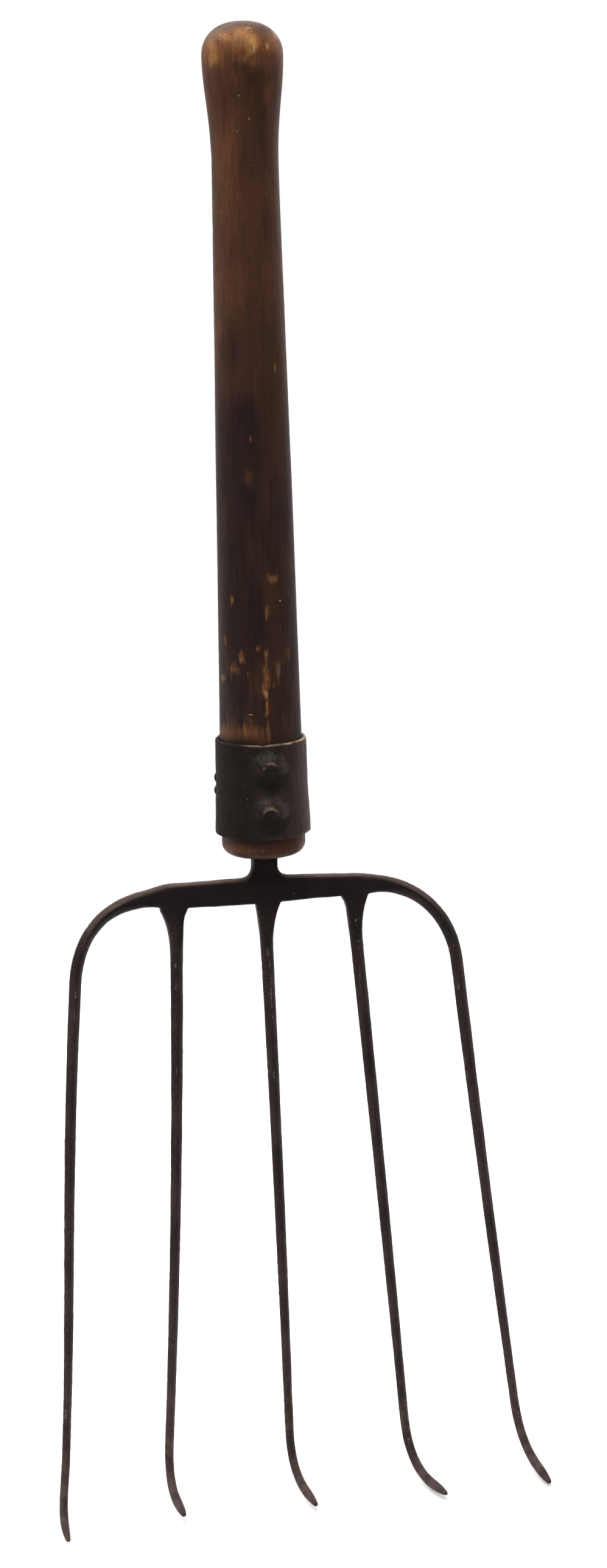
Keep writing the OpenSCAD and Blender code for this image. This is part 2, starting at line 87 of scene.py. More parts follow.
def make_camera():
    data = bpy.data.cameras.new("camera")
    data.sensor_width = SENSOR
    data.lens = FOCAL_PX / PHOTO_H * SENSOR
    camera = bpy.data.objects.new("camera", data)
    camera.location = CROWN + CAMERA_FROM_CROWN
    turn = Euler((0, 0, math.radians(-CAMERA_YAW))).to_matrix()
    tilt = Euler((math.radians(90 + CAMERA_PITCH), 0, 0)).to_matrix()
    roll = Euler((0, 0, math.radians(CAMERA_ROLL))).to_matrix()
    camera.rotation_euler = (turn @ tilt @ roll).to_euler()
    bpy.context.scene.collection.objects.link(camera)
    bpy.context.scene.camera = camera
    return camera


def photo_ray(camera, px, py):
    """Direction from the camera through a pixel of the photograph."""
    view = Vector((px - PHOTO_W / 2, PHOTO_H / 2 - py, -FOCAL_PX))
    return (camera.rotation_euler.to_matrix() @ view).normalized()


def make_floor():
    corners = [(-FLOOR_HALF, FLOOR_FRONT, 0), (FLOOR_HALF, FLOOR_FRONT, 0)]
    corners += [(FLOOR_HALF, FLOOR_HALF, 0), (-FLOOR_HALF, FLOOR_HALF, 0)]
    mesh = bpy.data.meshes.new("floor")
    mesh.from_pydata(corners, [], [(0, 1, 2, 3)])
    floor = bpy.data.objects.new("floor", mesh)
    material = bpy.data.materials.new("floor_paper")
    material.use_nodes = True
    shader = material.node_tree.nodes["Principled BSDF"]
    shader.inputs["Base Color"].default_value = (0.92, 0.92, 0.92, 1)
    shader.inputs["Roughness"].default_value = 0.9
    shader.inputs["Emission Color"].default_value = (1, 1, 1, 1)
    shader.inputs["Emission Strength"].default_value = 0.12
    mesh.materials.append(material)
    bpy.context.scene.collection.objects.link(floor)


def make_sun(name, toward, spread, power, colour):
    """A soft, far light that comes from a direction."""
    data = bpy.data.lights.new(name, "SUN")
    data.angle = math.radians(spread)
    data.energy = power
    data.color = colour
    light = bpy.data.objects.new(name, data)
    light.rotation_euler = Vector(toward).to_track_quat("Z", "Y").to_euler()
    bpy.context.scene.collection.objects.link(light)


def make_sky():
    """White behind the object, and a dimmer light from all round that falls on it."""
    world = bpy.data.worlds.new("studio")
    world.use_nodes = True
    tree = world.node_tree
    place = tree.nodes.new("ShaderNodeTexCoord")
    axes = tree.nodes.new("ShaderNodeSeparateXYZ")
    tree.links.new(place.outputs["Generated"], axes.inputs["Vector"])
    strength = tree.nodes.new("ShaderNodeMapRange")
    strength.interpolation_type = "SMOOTHSTEP"
    for name, number in (("From Min", -0.1), ("From Max", 0.9), ("To Min", SKY_DIM), ("To Max", SKY_BRIGHT)):
        strength.inputs[name].default_value = number
    tree.links.new(axes.outputs["Y"], strength.inputs["Value"])
    boxes = tree.nodes["Background"]
    boxes.inputs["Color"].default_value = (1, 0.99, 1, 1)
    tree.links.new(strength.outputs["Result"], boxes.inputs["Strength"])
    white = tree.nodes.new("ShaderNodeBackground")
    white.inputs["Color"].default_value = (1, 1, 1, 1)
    seen = tree.nodes.new("ShaderNodeLightPath")
    mix = tree.nodes.new("ShaderNodeMixShader")
    tree.links.new(seen.outputs["Is Camera Ray"], mix.inputs["Fac"])
    tree.links.new(boxes.outputs["Background"], mix.inputs[1])
    tree.links.new(white.outputs["Background"], mix.inputs[2])
    tree.links.new(mix.outputs["Shader"], tree.nodes["World Output"].inputs["Surface"])
    bpy.context.scene.world = world


def make_light():
    make_sun("left_softbox", (-0.46, 0.52, 0.75), 60, 1.9, (1, 0.99, 0.98))
    make_sun("right_softbox", (0.60, 0.42, 0.65), 90, 1.5, (1, 0.98, 0.99))
    make_sun("top_softbox", (-0.24, -0.48, 0.84), 34, 1.8, (1, 0.98, 0.95))
    make_sky()
    view = bpy.context.scene.view_settings
    view.view_transform = "Standard"
    view.gamma = VIEW_GAMMA


# Noise on points, the same at every run

def lattice(cells, seed):
    """A repeatable value from 0 to 1 for each row of whole numbers."""
    c = cells.astype(np.int64).astype(np.uint64)
    h = c[:, 0] * np.uint64(73856093)
    h ^= c[:, 1] * np.uint64(19349663)
    h ^= c[:, 2] * np.uint64(83492791)
    h ^= np.full(len(c), seed * 2654435761, np.uint64)
    h = (h ^ (h >> np.uint64(13))) * np.uint64(0x9E3779B97F4A7C15)
    h = (h ^ (h >> np.uint64(31))) * np.uint64(0xBF58476D1CE4E5B9)
    return (h >> np.uint64(40)).astype(float) / 2**24


def noise(points, size, seed):
    """Smooth noise from -1 to 1. Size is the width of its blobs, one length or one for each axis."""
    p = points / np.asarray(size, float) + 1000.0
    cell = np.floor(p)
    t = p - cell
    t = t * t * (3 - 2 * t)
    total = np.zeros(len(p))
    for corner in np.ndindex(2, 2, 2):
        share = np.prod(np.where(np.array(corner) > 0, t, 1 - t), axis=1)
        total += share * lattice(cell + corner, seed)
    return 2 * total - 1


def layered(points, size, seed, layers=3):
    """Noise with finer and weaker layers added."""
    size = np.asarray(size, float)
    return sum(noise(points, size / 2**k, seed + k) / 2**k for k in range(layers))


def cell_distance(points, size, seed):
    """Distance to the nearest of a scatter of points, as a share of their spacing."""
    p = points / np.asarray(size, float) + 1000.0
    cell = np.floor(p)
    best = np.full(len(p), 9.0)
    for step in np.ndindex(3, 3, 3):
        c = cell + np.array(step) - 1
        centre = c + np.stack([lattice(c, seed + k) for k in range(3)], axis=1)
        best = np.minimum(best, np.linalg.norm(p - centre, axis=1))
    return best


def ramp(values, low, high):
    """0 below low, 1 above high and smooth between them."""
    t = np.clip((values - low) / (high - low), 0, 1)
    return t * t * (3 - 2 * t)


# Meshes as arrays

def remeshed(node, name, voxel):
    """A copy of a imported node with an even, fine mesh."""
    copy = bpy.data.objects.new(name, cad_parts[node].data.copy())
    bpy.context.scene.collection.objects.link(copy)
    modifier = copy.modifiers.new("even", "REMESH")
    modifier.mode = "VOXEL"
    modifier.voxel_size = voxel
    graph = bpy.context.evaluated_depsgraph_get()
    mesh = bpy.data.meshes.new_from_object(copy.evaluated_get(graph))
    bpy.data.objects.remove(copy)
    mesh.name = name
    mesh.materials.clear()
    piece = bpy.data.objects.new(name, mesh)
    bpy.context.scene.collection.objects.link(piece)
    return piece


def get_points(mesh):
    flat = np.empty(len(mesh.vertices) * 3)
    mesh.vertices.foreach_get("co", flat)
    return flat.reshape(-1, 3)


def set_points(mesh, points):
    mesh.vertices.foreach_set("co", points.ravel())
    mesh.update()


def get_normals(mesh):
    flat = np.empty(len(mesh.vertices) * 3)
    mesh.vertex_normals.foreach_get("vector", flat)
    return flat.reshape(-1, 3)


def get_edges(mesh):
    flat = np.empty(len(mesh.edges) * 2, np.int32)
    mesh.edges.foreach_get("vertices", flat)
    return flat.reshape(-1, 2)


def neighbour_mean(values, edges):
    """Mean of each vertex's neighbours, for rows of any width."""
    count = len(values)
    ends = np.concatenate([edges[:, 0], edges[:, 1]])
    others = np.concatenate([edges[:, 1], edges[:, 0]])
    degree = np.maximum(np.bincount(ends, minlength=count), 1)
    columns = values.reshape(count, -1)
    sums = [np.bincount(ends, columns[others, k], count) for k in range(columns.shape[1])]
    return (np.stack(sums, axis=1) / degree[:, None]).reshape(values.shape)


def smooth(mesh, rounds, share=1.0):
    """Evens the surface out without shrinking it. Share is how much of that each vertex takes."""
    points, edges = get_points(mesh), get_edges(mesh)
    for _ in range(rounds):
        for strength in (0.55, -0.57):
            points = points + share * strength * (neighbour_mean(points, edges) - points)
    set_points(mesh, points)


def bulge(mesh, rounds):
    """How far each point stands proud of the surface round it: edges are positive, hollows negative."""
    points, edges = get_points(mesh), get_edges(mesh)
    mean = points
    for _ in range(rounds):
        mean = neighbour_mean(mean, edges)
    return np.sum((points - mean) * get_normals(mesh), axis=1)


def displace(mesh, amount):
    """Moves the surface along its normals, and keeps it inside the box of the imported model."""
    points = get_points(mesh) + get_normals(mesh) * amount[:, None]
    set_points(mesh, np.clip(points, np.array(CAD_LOW), np.array(CAD_HIGH)))


def attribute(mesh, name, values):
    layer = mesh.attributes.new(name, "FLOAT", "POINT")
    layer.data.foreach_set("value", np.clip(values, 0, 1).astype(np.float32))


def surface_tree(mesh):
    return BVHTree.FromPolygons([v.co for v in mesh.vertices], [tuple(f.vertices) for f in mesh.polygons])


def marks(piece, camera, spots, soft=0.55, grain=(2.5, 2.5, 2.5), ragged=0.35, seed=71):
    """Marks on the front: a pixel of the photograph, height and width in mm, and strength."""
    mesh = piece.data
    points = get_points(mesh)
    tree = surface_tree(mesh)
    uneven = 1 + ragged * layered(points, np.array(grain) * MM, seed, 2)
    total = np.zeros(len(points))
    for px, py, tall, wide, strength in spots:
        hit = tree.ray_cast(camera.location, photo_ray(camera, px, py))[0]
        if hit is None:
            continue
        away = points - np.array(hit)
        reach = np.sqrt((away[:, 2] / (tall * MM / 2)) ** 2 + (away[:, 0] / (wide * MM / 2)) ** 2
                        + (away[:, 1] / (wide * MM)) ** 2) * uneven
        total = np.maximum(total, strength * (1 - ramp(reach, soft, 1.15)))
    return total


def finish_piece(piece, material, slot, *nodes):
    piece.data.materials.append(material)
    piece.data.shade_smooth()
    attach(piece, "root")
    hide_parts(*nodes)


# Node trees of the materials

class Shader:
    """A principled material that is built by name."""

    def __init__(self, name):
        self.material = bpy.data.materials.new(name)
        self.material.use_nodes = True
        self.tree = self.material.node_tree
        self.out = self.tree.nodes["Principled BSDF"]
        self.place = self.tree.nodes.new("ShaderNodeTexCoord").outputs["Object"]

    def link(self, a, b):
        self.tree.links.new(a, b)

    def attribute(self, name):
        node = self.tree.nodes.new("ShaderNodeAttribute")
        node.attribute_name = name
        return node.outputs["Fac"]

    def noise(self, size, detail=4.0, stretch=(1, 1, 1), rough=0.55):
        """Noise with blobs of that size, stretched along each axis."""
        mapping = self.tree.nodes.new("ShaderNodeMapping")
        mapping.inputs["Scale"].default_value = [1 / (size * s) for s in stretch]
        self.link(self.place, mapping.inputs["Vector"])
        node = self.tree.nodes.new("ShaderNodeTexNoise")
        node.inputs["Scale"].default_value = 1.0
        node.inputs["Detail"].default_value = detail
        node.inputs["Roughness"].default_value = rough
        self.link(mapping.outputs["Vector"], node.inputs["Vector"])
        return node.outputs["Fac"]

    def range(self, value, low, high, to_low=0.0, to_high=1.0):
        node = self.tree.nodes.new("ShaderNodeMapRange")
        node.interpolation_type = "SMOOTHSTEP"
        for name, number in (("From Min", low), ("From Max", high), ("To Min", to_low), ("To Max", to_high)):
            node.inputs[name].default_value = number
        self.link(value, node.inputs["Value"])
        return node.outputs["Result"]

    def math(self, kind, a, b):
        node = self.tree.nodes.new("ShaderNodeMath")
        node.operation = kind
        for socket, value in zip(node.inputs, (a, b)):
            if isinstance(value, (int, float)):
                socket.default_value = value
            else:
                self.link(value, socket)
        return node.outputs["Value"]

    def spot(self, point, tall, wide):
        """1 inside an oval on the front, 0 outside: its middle, height and width."""
        offset = self.tree.nodes.new("ShaderNodeVectorMath")
        offset.operation = "SUBTRACT"
        self.link(self.place, offset.inputs[0])
        offset.inputs[1].default_value = point
        scale = self.tree.nodes.new("ShaderNodeVectorMath")
        scale.operation = "MULTIPLY"
        self.link(offset.outputs["Vector"], scale.inputs[0])
        scale.inputs[1].default_value = (2 / wide, 1 / wide, 2 / tall)
        length = self.tree.nodes.new("ShaderNodeVectorMath")
        length.operation = "LENGTH"
        self.link(scale.outputs["Vector"], length.inputs[0])
        return self.range(length.outputs["Value"], 0.5, 1.1, 1.0, 0.0)

    def mix(self, share, a, b):
        """Mix of two colours, each a colour or the output of another mix."""
        node = self.tree.nodes.new("ShaderNodeMix")
        node.data_type = "RGBA"
        self.link(share, node.inputs["Factor"])
        for name, value in (("A", a), ("B", b)):
            socket = next(s for s in node.inputs if s.name == name and s.type == "RGBA")
            if isinstance(value, tuple):
                socket.default_value = (*value, 1)
            else:
                self.link(value, socket)
        return next(s for s in node.outputs if s.type == "RGBA")

    def bump(self, height, distance, strength=1.0):
        node = self.tree.nodes.new("ShaderNodeBump")
        node.inputs["Distance"].default_value = distance
        node.inputs["Strength"].default_value = strength
        self.link(height, node.inputs["Height"])
        self.link(node.outputs["Normal"], self.out.inputs["Normal"])

    def set(self, **values):
        for name, value in values.items():
            socket = self.out.inputs[name.replace("_", " ")]
            if hasattr(value, "node"):
                self.link(value, socket)
            else:
                socket.default_value = value


# Colour of wear on the metal, also used for a painted highlight on the domes' upper slopes.
IRON_WORN_AND_HIGHLIGHT = (0.50, 0.43, 0.36)
# Brown of scale and rust, also used to paint light on the bar's top and on the band's right side.
IRON_WARM_AND_PAINTED_LIGHT = (0.16, 0.105, 0.08)
# Colour of wear on edges, also used for a painted highlight on the bar's top edges and round the rivets' flat tops.
IRON_RIM_WEAR_AND_HIGHLIGHT = (0.56, 0.41, 0.28)


def iron(name, dark, light, patch, gloss=0.22, smoothest=0.50, stretch=1.0, dull=0.0):
    """Forged iron: patchy brown-black skin with fine scale; wear, rust, dirt, painted shade and painted highlights
    come from the mesh.
    """
    s = Shader(name)
    patches = s.range(s.noise(patch, 5, (1, 1, stretch)), 0.32, 0.68)
    colour = s.mix(patches, dark, light)
    scale = s.range(s.noise(1.3 * MM, 4, rough=0.7), 0.42, 0.75)
    colour = s.mix(s.math("MULTIPLY", scale, 0.35), colour, IRON_WARM_AND_PAINTED_LIGHT)
    pits = s.range(s.noise(2.0 * MM, 3), 0.60, 0.72)
    colour = s.mix(s.math("MULTIPLY", pits, 0.6), colour, dark)
    colour = s.mix(s.attribute("warm_tint_and_painted_light"), colour, IRON_WARM_AND_PAINTED_LIGHT)
    colour = s.mix(s.attribute("grime"), colour, dark)
    flecks = s.range(s.noise(0.8 * MM, 3, rough=0.6), 0.44, 0.60)
    colour = s.mix(s.math("MULTIPLY", s.attribute("wear_and_highlight"), flecks), colour, IRON_WORN_AND_HIGHLIGHT)
    colour = s.mix(s.math("MULTIPLY", s.attribute("rim"), s.range(flecks, 0.0, 1.0, 0.6, 1.0)), colour, IRON_RIM_WEAR_AND_HIGHLIGHT)
    rough = s.range(s.noise(5 * MM, 5), 0.3, 0.7, smoothest, smoothest + 0.18)
    rough = s.math("ADD", rough, s.math("MULTIPLY", s.attribute("grime"), dull))
    s.set(Base_Color=colour, Roughness=rough, Metallic=0.0)
    s.out.inputs["Specular IOR Level"].default_value = gloss
    height = s.math("ADD", s.noise(1.1 * MM, 6, rough=0.65), s.math("MULTIPLY", s.noise(6 * MM, 4), 2.0))
    s.bump(height, 0.22 * MM, 0.7)
    return s.material


HEAD_DARK, HEAD_LIGHT = (0.023, 0.016, 0.017), (0.064, 0.042, 0.044)
BAND_DARK, BAND_LIGHT = (0.018, 0.012, 0.011), (0.046, 0.032, 0.029)

WOOD_DARK = (0.034, 0.021, 0.020)
WOOD_BROWN = (0.160, 0.069, 0.040)
WOOD_WARM = (0.40, 0.175, 0.070)
WOOD_OLIVE = (0.085, 0.048, 0.022)
WOOD_ORANGE = (0.42, 0.170, 0.058)
# Golden ochre of the wood, also used for a painted highlight on the knob's upper left.
WOOD_GOLD_AND_HIGHLIGHT = (0.66, 0.36, 0.13)
WOOD_TAN = (0.70, 0.40, 0.18)
WOOD_PALE = (0.80, 0.66, 0.54)


def wood(name, spots):
    """Hand-polished hardwood: fine long grain, dirt and painted shade from the mesh, and patches down to bare wood,
    one of them a painted highlight on the knob.
    """
    s = Shader(name)
    broad = s.noise(8 * MM, 5, (1, 1, 3.5), 0.6)
    streaks = s.noise(1.5 * MM, 4, (1, 1, 16), 0.6)
    hairs = s.noise(0.5 * MM, 3, (1, 1, 14), 0.6)
    grains = s.noise(1.5 * MM, 5, (1, 1, 1.8), 0.75)
    mottled = s.math("ADD", s.math("MULTIPLY", streaks, 0.35), s.math("MULTIPLY", broad, 0.65))
    colour = s.mix(s.range(mottled, 0.40, 0.64, 0.0, 0.75), WOOD_DARK, WOOD_BROWN)
    colour = s.mix(s.range(mottled, 0.36, 0.56, 0.35, 0.0), WOOD_BROWN, colour)
    lit = s.math("MULTIPLY", s.attribute("warm_tint_and_painted_light"), s.range(streaks, 0.34, 0.62, 0.45, 1.0))
    colour = s.mix(lit, colour, WOOD_WARM)
    dark = s.math("MULTIPLY", s.attribute("grime"), s.range(mottled, 0.34, 0.64, 1.0, 0.84))
    colour = s.mix(dark, colour, WOOD_DARK)
    tinge = s.range(s.noise(14 * MM, 3, (1, 1, 2.5), 0.6), 0.50, 0.72, 0.0, 0.5)
    colour = s.mix(tinge, colour, WOOD_OLIVE)
    pores = s.math("MULTIPLY", s.range(hairs, 0.56, 0.74), 0.22)
    colour = s.mix(pores, colour, WOOD_DARK)
    colour = s.mix(s.range(grains, 0.48, 0.74, 0.0, 0.45), colour, WOOD_DARK)
    colour = s.mix(s.range(grains, 0.26, 0.46, 0.16, 0.0), colour, WOOD_BROWN)
    chips = s.noise(1.7 * MM, 5, (1, 1, 2.2), 0.65)
    gilt_and_highlight = s.math("MULTIPLY", s.attribute("gold_and_highlight"), s.range(chips, 0.30, 0.60, 0.45, 1.0))
    colour = s.mix(gilt_and_highlight, colour, WOOD_GOLD_AND_HIGHLIGHT)
    bare = s.mix(s.range(chips, 0.42, 0.70), WOOD_ORANGE, WOOD_TAN)
    colour = s.mix(s.math("MULTIPLY", s.attribute("wear_and_highlight"), s.range(chips, 0.22, 0.50, 0.50, 1.0)), colour, bare)
    for point, tall, wide, strength in spots:
        colour = s.mix(s.math("MULTIPLY", s.spot(point, tall, wide), strength), colour, WOOD_PALE)
    rough = s.range(streaks, 0.35, 0.7, 0.40, 0.52)
    s.set(Base_Color=colour, Roughness=rough)
    s.out.inputs["Specular IOR Level"].default_value = 0.22
    s.bump(s.math("ADD", streaks, s.math("MULTIPLY", grains, 0.8)), 0.14 * MM, 0.7)
    return s.material


# Pieces

HEAD_VOXEL = 0.6 * MM
WOOD_VOXEL = 0.9 * MM
BAND_VOXEL = 0.6 * MM
RIVET_VOXEL = 0.35 * MM

# Bright wear on the ridges of the tines and on the bar: pixel, height and width in mm, strength
HEAD_MARKS = [
    (124, 1634, 6, 1.2, 0.6), (122, 1665, 14, 0.7, 0.35), (288, 1585, 4, 1.2, 0.7), (289, 1620, 5, 1.0, 0.45),
    (290, 1760, 5, 0.9, 0.4), (440, 1567, 8, 2.2, 0.45), (443, 1585, 14, 0.8, 0.6), (445, 1607, 20, 0.7, 0.85),
    (446, 1640, 22, 0.7, 0.85), (448, 1672, 16, 0.6, 0.6), (450, 1767, 6, 1.0, 0.5), (585, 1512, 3, 1.2, 0.6),
    (589, 1547, 3, 1.2, 0.6), (590, 1559, 3, 1.2, 0.7), (591, 1604, 22, 0.7, 0.4), (746, 1551, 3.5, 1.2, 0.6),
    (739, 1559, 2.5, 1.2, 0.5), (753, 1618, 5, 1.1, 0.6), (764, 1745, 6, 0.9, 0.4), (768, 1765, 6, 0.9, 0.4),
    (482, 1468, 1.2, 1.3, 0.5), (511, 1469, 1.2, 1.3, 0.4), (395, 1485, 1.2, 1.5, 0.4), (108, 2326, 12, 1.0, 0.4),
    (671, 2367, 5, 1.3, 0.4), (851, 2325, 8, 1.1, 0.4), (870, 2368, 3, 1.3, 0.4), (890, 2407, 4, 1.3, 0.4),
]
# The crosshead's underside and top at the neck
BAR_LOW = WOOD_LOW.z - 33.2 * MM
BAR_HIGH = WOOD_LOW.z - 16 * MM


def make_head(camera):
    piece = remeshed("fork_head", "forged_head", HEAD_VOXEL)
    mesh = piece.data
    smooth(mesh, 5)
    height = get_points(mesh)[:, 2]
    bar = ramp(height, BAR_LOW - 14 * MM, BAR_LOW - 2 * MM)
    smooth(mesh, 26, bar[:, None])
    points = get_points(mesh)
    blows = cell_distance(points, (11 * MM, 11 * MM, 15 * MM), 3)
    amount = -(0.07 + 0.12 * bar) * MM * (1 - ramp(blows, 0.15, 0.85))
    amount += 0.10 * MM * layered(points, 16 * MM, 11)
    pits = cell_distance(points, 4.2 * MM, 23)
    amount -= 0.14 * MM * (1 - ramp(pits, 0.08, 0.26)) * ramp(noise(points, 30 * MM, 29), -0.1, 0.5)
    displace(mesh, amount)
    proud = bulge(mesh, 6)
    ridge = ramp(proud, 0.20 * MM, 0.5 * MM)
    patchy = ramp(layered(points, (5 * MM, 5 * MM, 14 * MM), 31), 0.35, 0.9)
    wear_and_highlight = np.maximum(0.30 * ridge * patchy * (1 - bar), marks(piece, camera, HEAD_MARKS))
    attribute(mesh, "wear_and_highlight", wear_and_highlight)
    up = get_normals(mesh)[:, 2]
    hook = 1 - ramp(points[:, 2], 45 * MM, 95 * MM)
    # Dust and painted light: the bar's up-facing faces get a lighter, warmer brown, which paints a lit top. On the
    # hooks it is rust.
    warm_tint_and_painted_light = 0.45 * bar * ramp(up, 0.15, 0.7) + 0.35 * hook * ramp(layered(points, 7 * MM, 33), -0.5, 0.7)
    attribute(mesh, "warm_tint_and_painted_light", warm_tint_and_painted_light)
    # Painted shade: the front-facing faces of the bar and neck are darkened.
    shaded_front_face = ramp(-get_normals(mesh)[:, 1], 0.75, 0.97)
    flat = ramp(points[:, 2], BAR_LOW - 16 * MM, BAR_LOW + 1 * MM)
    attribute(mesh, "grime", 0.8 * shaded_front_face * flat)
    # Wear and a painted highlight: the proud, up-facing edges of the bar are lightened.
    lit_worn_top_edge = bar * ramp(proud, 0.10 * MM, 0.30 * MM) * ramp(up, 0.2, 0.6)
    attribute(mesh, "rim", 0.34 * lit_worn_top_edge * ramp(layered(points, 6 * MM, 37), -0.7, 0.6))
    finish_piece(piece, iron("forged_iron", HEAD_DARK, HEAD_LIGHT, 14 * MM, stretch=3.0), "forged_iron", "fork_head")


# The rivets' heads stand a little to the left of the front. Head and band swell into one smooth dome
RIVET_TURNS = {"upper_rivet": 2.6, "lower_rivet": 3.8}
DOME_R, FLAT_R, DOME_H, SKIRT_DROP = 10.5 * MM, 4.2 * MM, 3.4 * MM, 2.0 * MM
SWELL_R = 13.5 * MM
BAND_R = 29.2 * MM


def dome_place(points, node):
    """For points of a band or rivet: offset along the band, distance from the rivet's line, and height on it."""
    low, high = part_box(node)
    t = math.radians(RIVET_TURNS[node])
    x, y = points[:, 0] - AXIS_X, points[:, 1] - AXIS_Y
    along = x * math.cos(t) - y * math.sin(t)
    out = -x * math.sin(t) - y * math.cos(t)
    return along, np.hypot(along, points[:, 2] - (low.z + high.z) / 2), out


def fall_of_band(along):
    """How far the round band lies behind a flat plane in front of it."""
    return BAND_R - np.sqrt(np.maximum(BAND_R**2 - along**2, 0))


def push_out(mesh, node, amount):
    t = math.radians(RIVET_TURNS[node])
    toward = np.array([-math.sin(t), -math.cos(t), 0])
    set_points(mesh, get_points(mesh) + amount[:, None] * toward)


def make_band(camera):
    piece = remeshed("band", "iron_band", BAND_VOXEL)
    mesh = piece.data
    smooth(mesh, 5)
    points = get_points(mesh)
    pits = cell_distance(points, 5.0 * MM, 41)
    pitted = ramp(noise(points, 22 * MM, 43), -0.35, 0.35)
    amount = -0.12 * MM * (1 - ramp(pits, 0.08, 0.30)) * pitted
    blows = cell_distance(points, 14 * MM, 47)
    amount -= 0.22 * MM * (1 - ramp(blows, 0.1, 0.9))
    top = ramp(points[:, 2], BAND_HIGH.z - 2.5 * MM, BAND_HIGH.z)
    low = 1 - ramp(points[:, 2], BAND_LOW.z, BAND_LOW.z + 2.0 * MM)
    nicks = ramp(layered(points, 11 * MM, 53), -0.2, 0.9)
    amount -= 0.7 * MM * (top + 0.5 * low) * nicks
    displace(mesh, amount)
    radius = np.hypot(points[:, 0] - AXIS_X, points[:, 1] - AXIS_Y)
    outside = ramp(radius, BAND_R - 1.6 * MM, BAND_R - 0.8 * MM)
    lower_slope_shade, over = 0.0, 0.0
    for node in RIVET_TURNS:
        along, reach, out = dome_place(points, node)
        swell = (DOME_H + fall_of_band(along)) * (1 - ramp(reach, FLAT_R, SWELL_R))
        swell += (0.10 * ramp(reach, 6.2 * MM, 7.2 * MM) - 0.05) * MM * (1 - ramp(reach, 8 * MM, 12 * MM))
        swell -= 1.4 * MM * (1 - ramp(reach, 4.5 * MM, 6.2 * MM))
        push_out(mesh, node, swell * outside * (out > 0))
        lift = points[:, 2] - (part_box(node)[0].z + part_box(node)[1].z) / 2
        near = (1 - ramp(reach, 0.8 * SWELL_R, 1.2 * SWELL_R)) * (out > 0)
        # Painted shade on each dome's lower slope; wear and a painted highlight on its upper slope.
        lower_slope_shade = lower_slope_shade + near * ramp(-lift, -1 * MM, 4 * MM)
        over = over + near * ramp(lift, 3 * MM, 8 * MM) * ramp(layered(points, 3 * MM, 67), -0.5, 0.6)
    front = 1 - ramp(points[:, 1], AXIS_Y - 22 * MM, AXIS_Y + 8 * MM)
    rim = ramp(points[:, 2], BAND_HIGH.z - 1.2 * MM, BAND_HIGH.z - 0.7 * MM)
    rim = rim * ramp(layered(points, 5 * MM, 59), -0.8, 0.5) * (0.2 + 0.8 * front)
    rim = rim * ramp(points[:, 0], AXIS_X - 20 * MM, AXIS_X - 6 * MM)
    speck = (1 - ramp(cell_distance(points, 3.4 * MM, 61), 0.05, 0.14)) * 0.8
    speck = speck * marks(piece, camera, [(393, 1315, 40, 14, 1), (370, 1330, 30, 8, 0.7)])
    attribute(mesh, "rim", rim)
    attribute(mesh, "wear_and_highlight", np.maximum(np.maximum(0.3 * low * nicks, speck), 0.12 * over))
    # Painted shade: the band darkens towards its left side. Towards its right side it turns a warmer brown, partly
    # rust and partly painted light.
    side = (points[:, 0] - AXIS_X) / (29 * MM)
    attribute(mesh, "grime", np.maximum(0.75 * ramp(-side, -0.1, 0.7), 0.7 * lower_slope_shade))
    attribute(mesh, "warm_tint_and_painted_light", 0.25 * ramp(side, -0.1, 0.9))
    finish_piece(piece, iron("band_iron", BAND_DARK, BAND_LIGHT, 10 * MM, 0.32, 0.40, dull=0.45), "band_iron", "band")


def make_rivet(node, name, seed):
    piece = remeshed(node, name, RIVET_VOXEL)
    mesh = piece.data
    smooth(mesh, 8)
    points = get_points(mesh)
    blows = cell_distance(points, 4.5 * MM, seed)
    amount = -0.10 * MM * (1 - ramp(blows, 0.1, 0.8)) + 0.04 * MM * layered(points, 5 * MM, seed + 9)
    displace(mesh, amount)
    inner, painted_highlight, lower_slope_shade, upper = 0.0, 0.0, 0.0, 0.0
    if node in RIVET_TURNS:
        along, reach, out = dome_place(points, node)
        t = np.clip((reach - FLAT_R) / (DOME_R - FLAT_R), 0, 1) ** 1.25
        old = DOME_H - (DOME_H + SKIRT_DROP) * t * t * (3 - 2 * t)
        new = DOME_H - (DOME_H + fall_of_band(along)) * ramp(reach, FLAT_R, SWELL_R)
        push_out(mesh, node, (new - old) * (out > BAND_R - 3 * MM))
        # Dirt and painted shade: the flat top of the head is darkened.
        inner = 1 - ramp(reach, 0.8 * FLAT_R, 1.25 * FLAT_R)
        over = points[:, 2] - (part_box(node)[0].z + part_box(node)[1].z) / 2
        # Painted shade on the dome's lower slope; wear and a painted highlight on its upper slope.
        lower_slope_shade = ramp(-over, -1 * MM, 4 * MM)
        upper = ramp(over, 3 * MM, 8 * MM) * ramp(layered(points, 3 * MM, 67), -0.5, 0.6)
        # Painted highlight: a light crescent round the upper half of the flat top's border.
        painted_highlight = ramp(reach, 0.85 * FLAT_R, FLAT_R) * (1 - ramp(reach, 1.25 * FLAT_R, 1.5 * FLAT_R))
        painted_highlight = painted_highlight * ramp(over, 0.5 * MM, 3.5 * MM) * ramp(noise(points, 1.8 * MM, seed + 5), -0.7, 0.6)
    attribute(mesh, "rim", 0.6 * painted_highlight * np.ones(len(points)))
    attribute(mesh, "wear_and_highlight", 0.12 * upper * np.ones(len(points)))
    attribute(mesh, "grime", np.maximum(0.35 * inner, 0.7 * lower_slope_shade) * np.ones(len(points)))
    metal = iron(name + "_iron", BAND_DARK, BAND_LIGHT, 10 * MM, 0.32, 0.40, dull=0.45)
    finish_piece(piece, metal, "rivet_iron", node)


